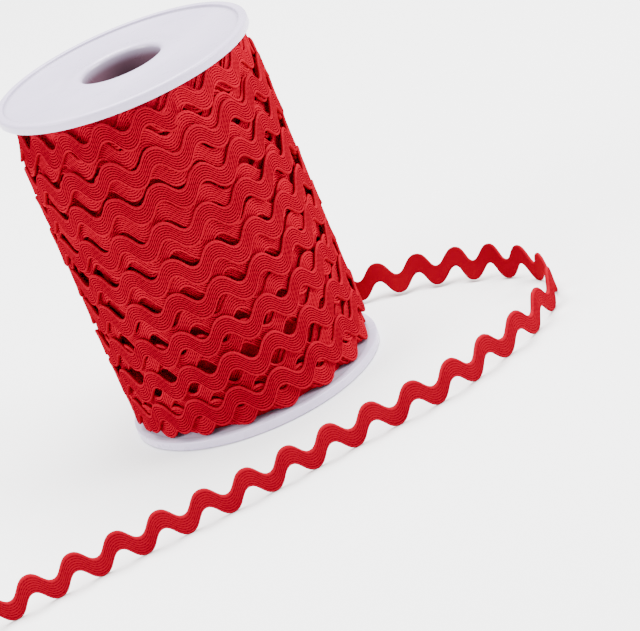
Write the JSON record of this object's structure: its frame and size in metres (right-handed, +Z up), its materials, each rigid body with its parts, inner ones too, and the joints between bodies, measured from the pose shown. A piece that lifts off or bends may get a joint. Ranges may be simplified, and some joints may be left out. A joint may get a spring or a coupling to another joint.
{
  "type": "roll of ric rac trim on a spool",
  "caption": "White plastic spool wound with red ric rac, a flat trim with waved edges, with its loose end standing on edge on the surface in a loop.",
  "frame": {"origin": "centre of the spool's underside, on the surface that it stands on", "axes": "+Z up along the spool's bore; -Y faces the camera; +X to the right of it, where the loose end makes its turn"},
  "size_m": [0.1543, 0.11, 0.0884],
  "materials": {
    "white_plastic": "moulded white plastic, soft gloss",
    "red_trim": "flat woven polyester trim with raised yarn lines along the wave"
  },
  "bodies": {
    "root": {"core_tube": "white_plastic", "top_flange": "white_plastic", "bottom_flange": "white_plastic", "wound_ric_rac": "red_trim", "loose_end": "red_trim"}
  },
  "joints": []
}
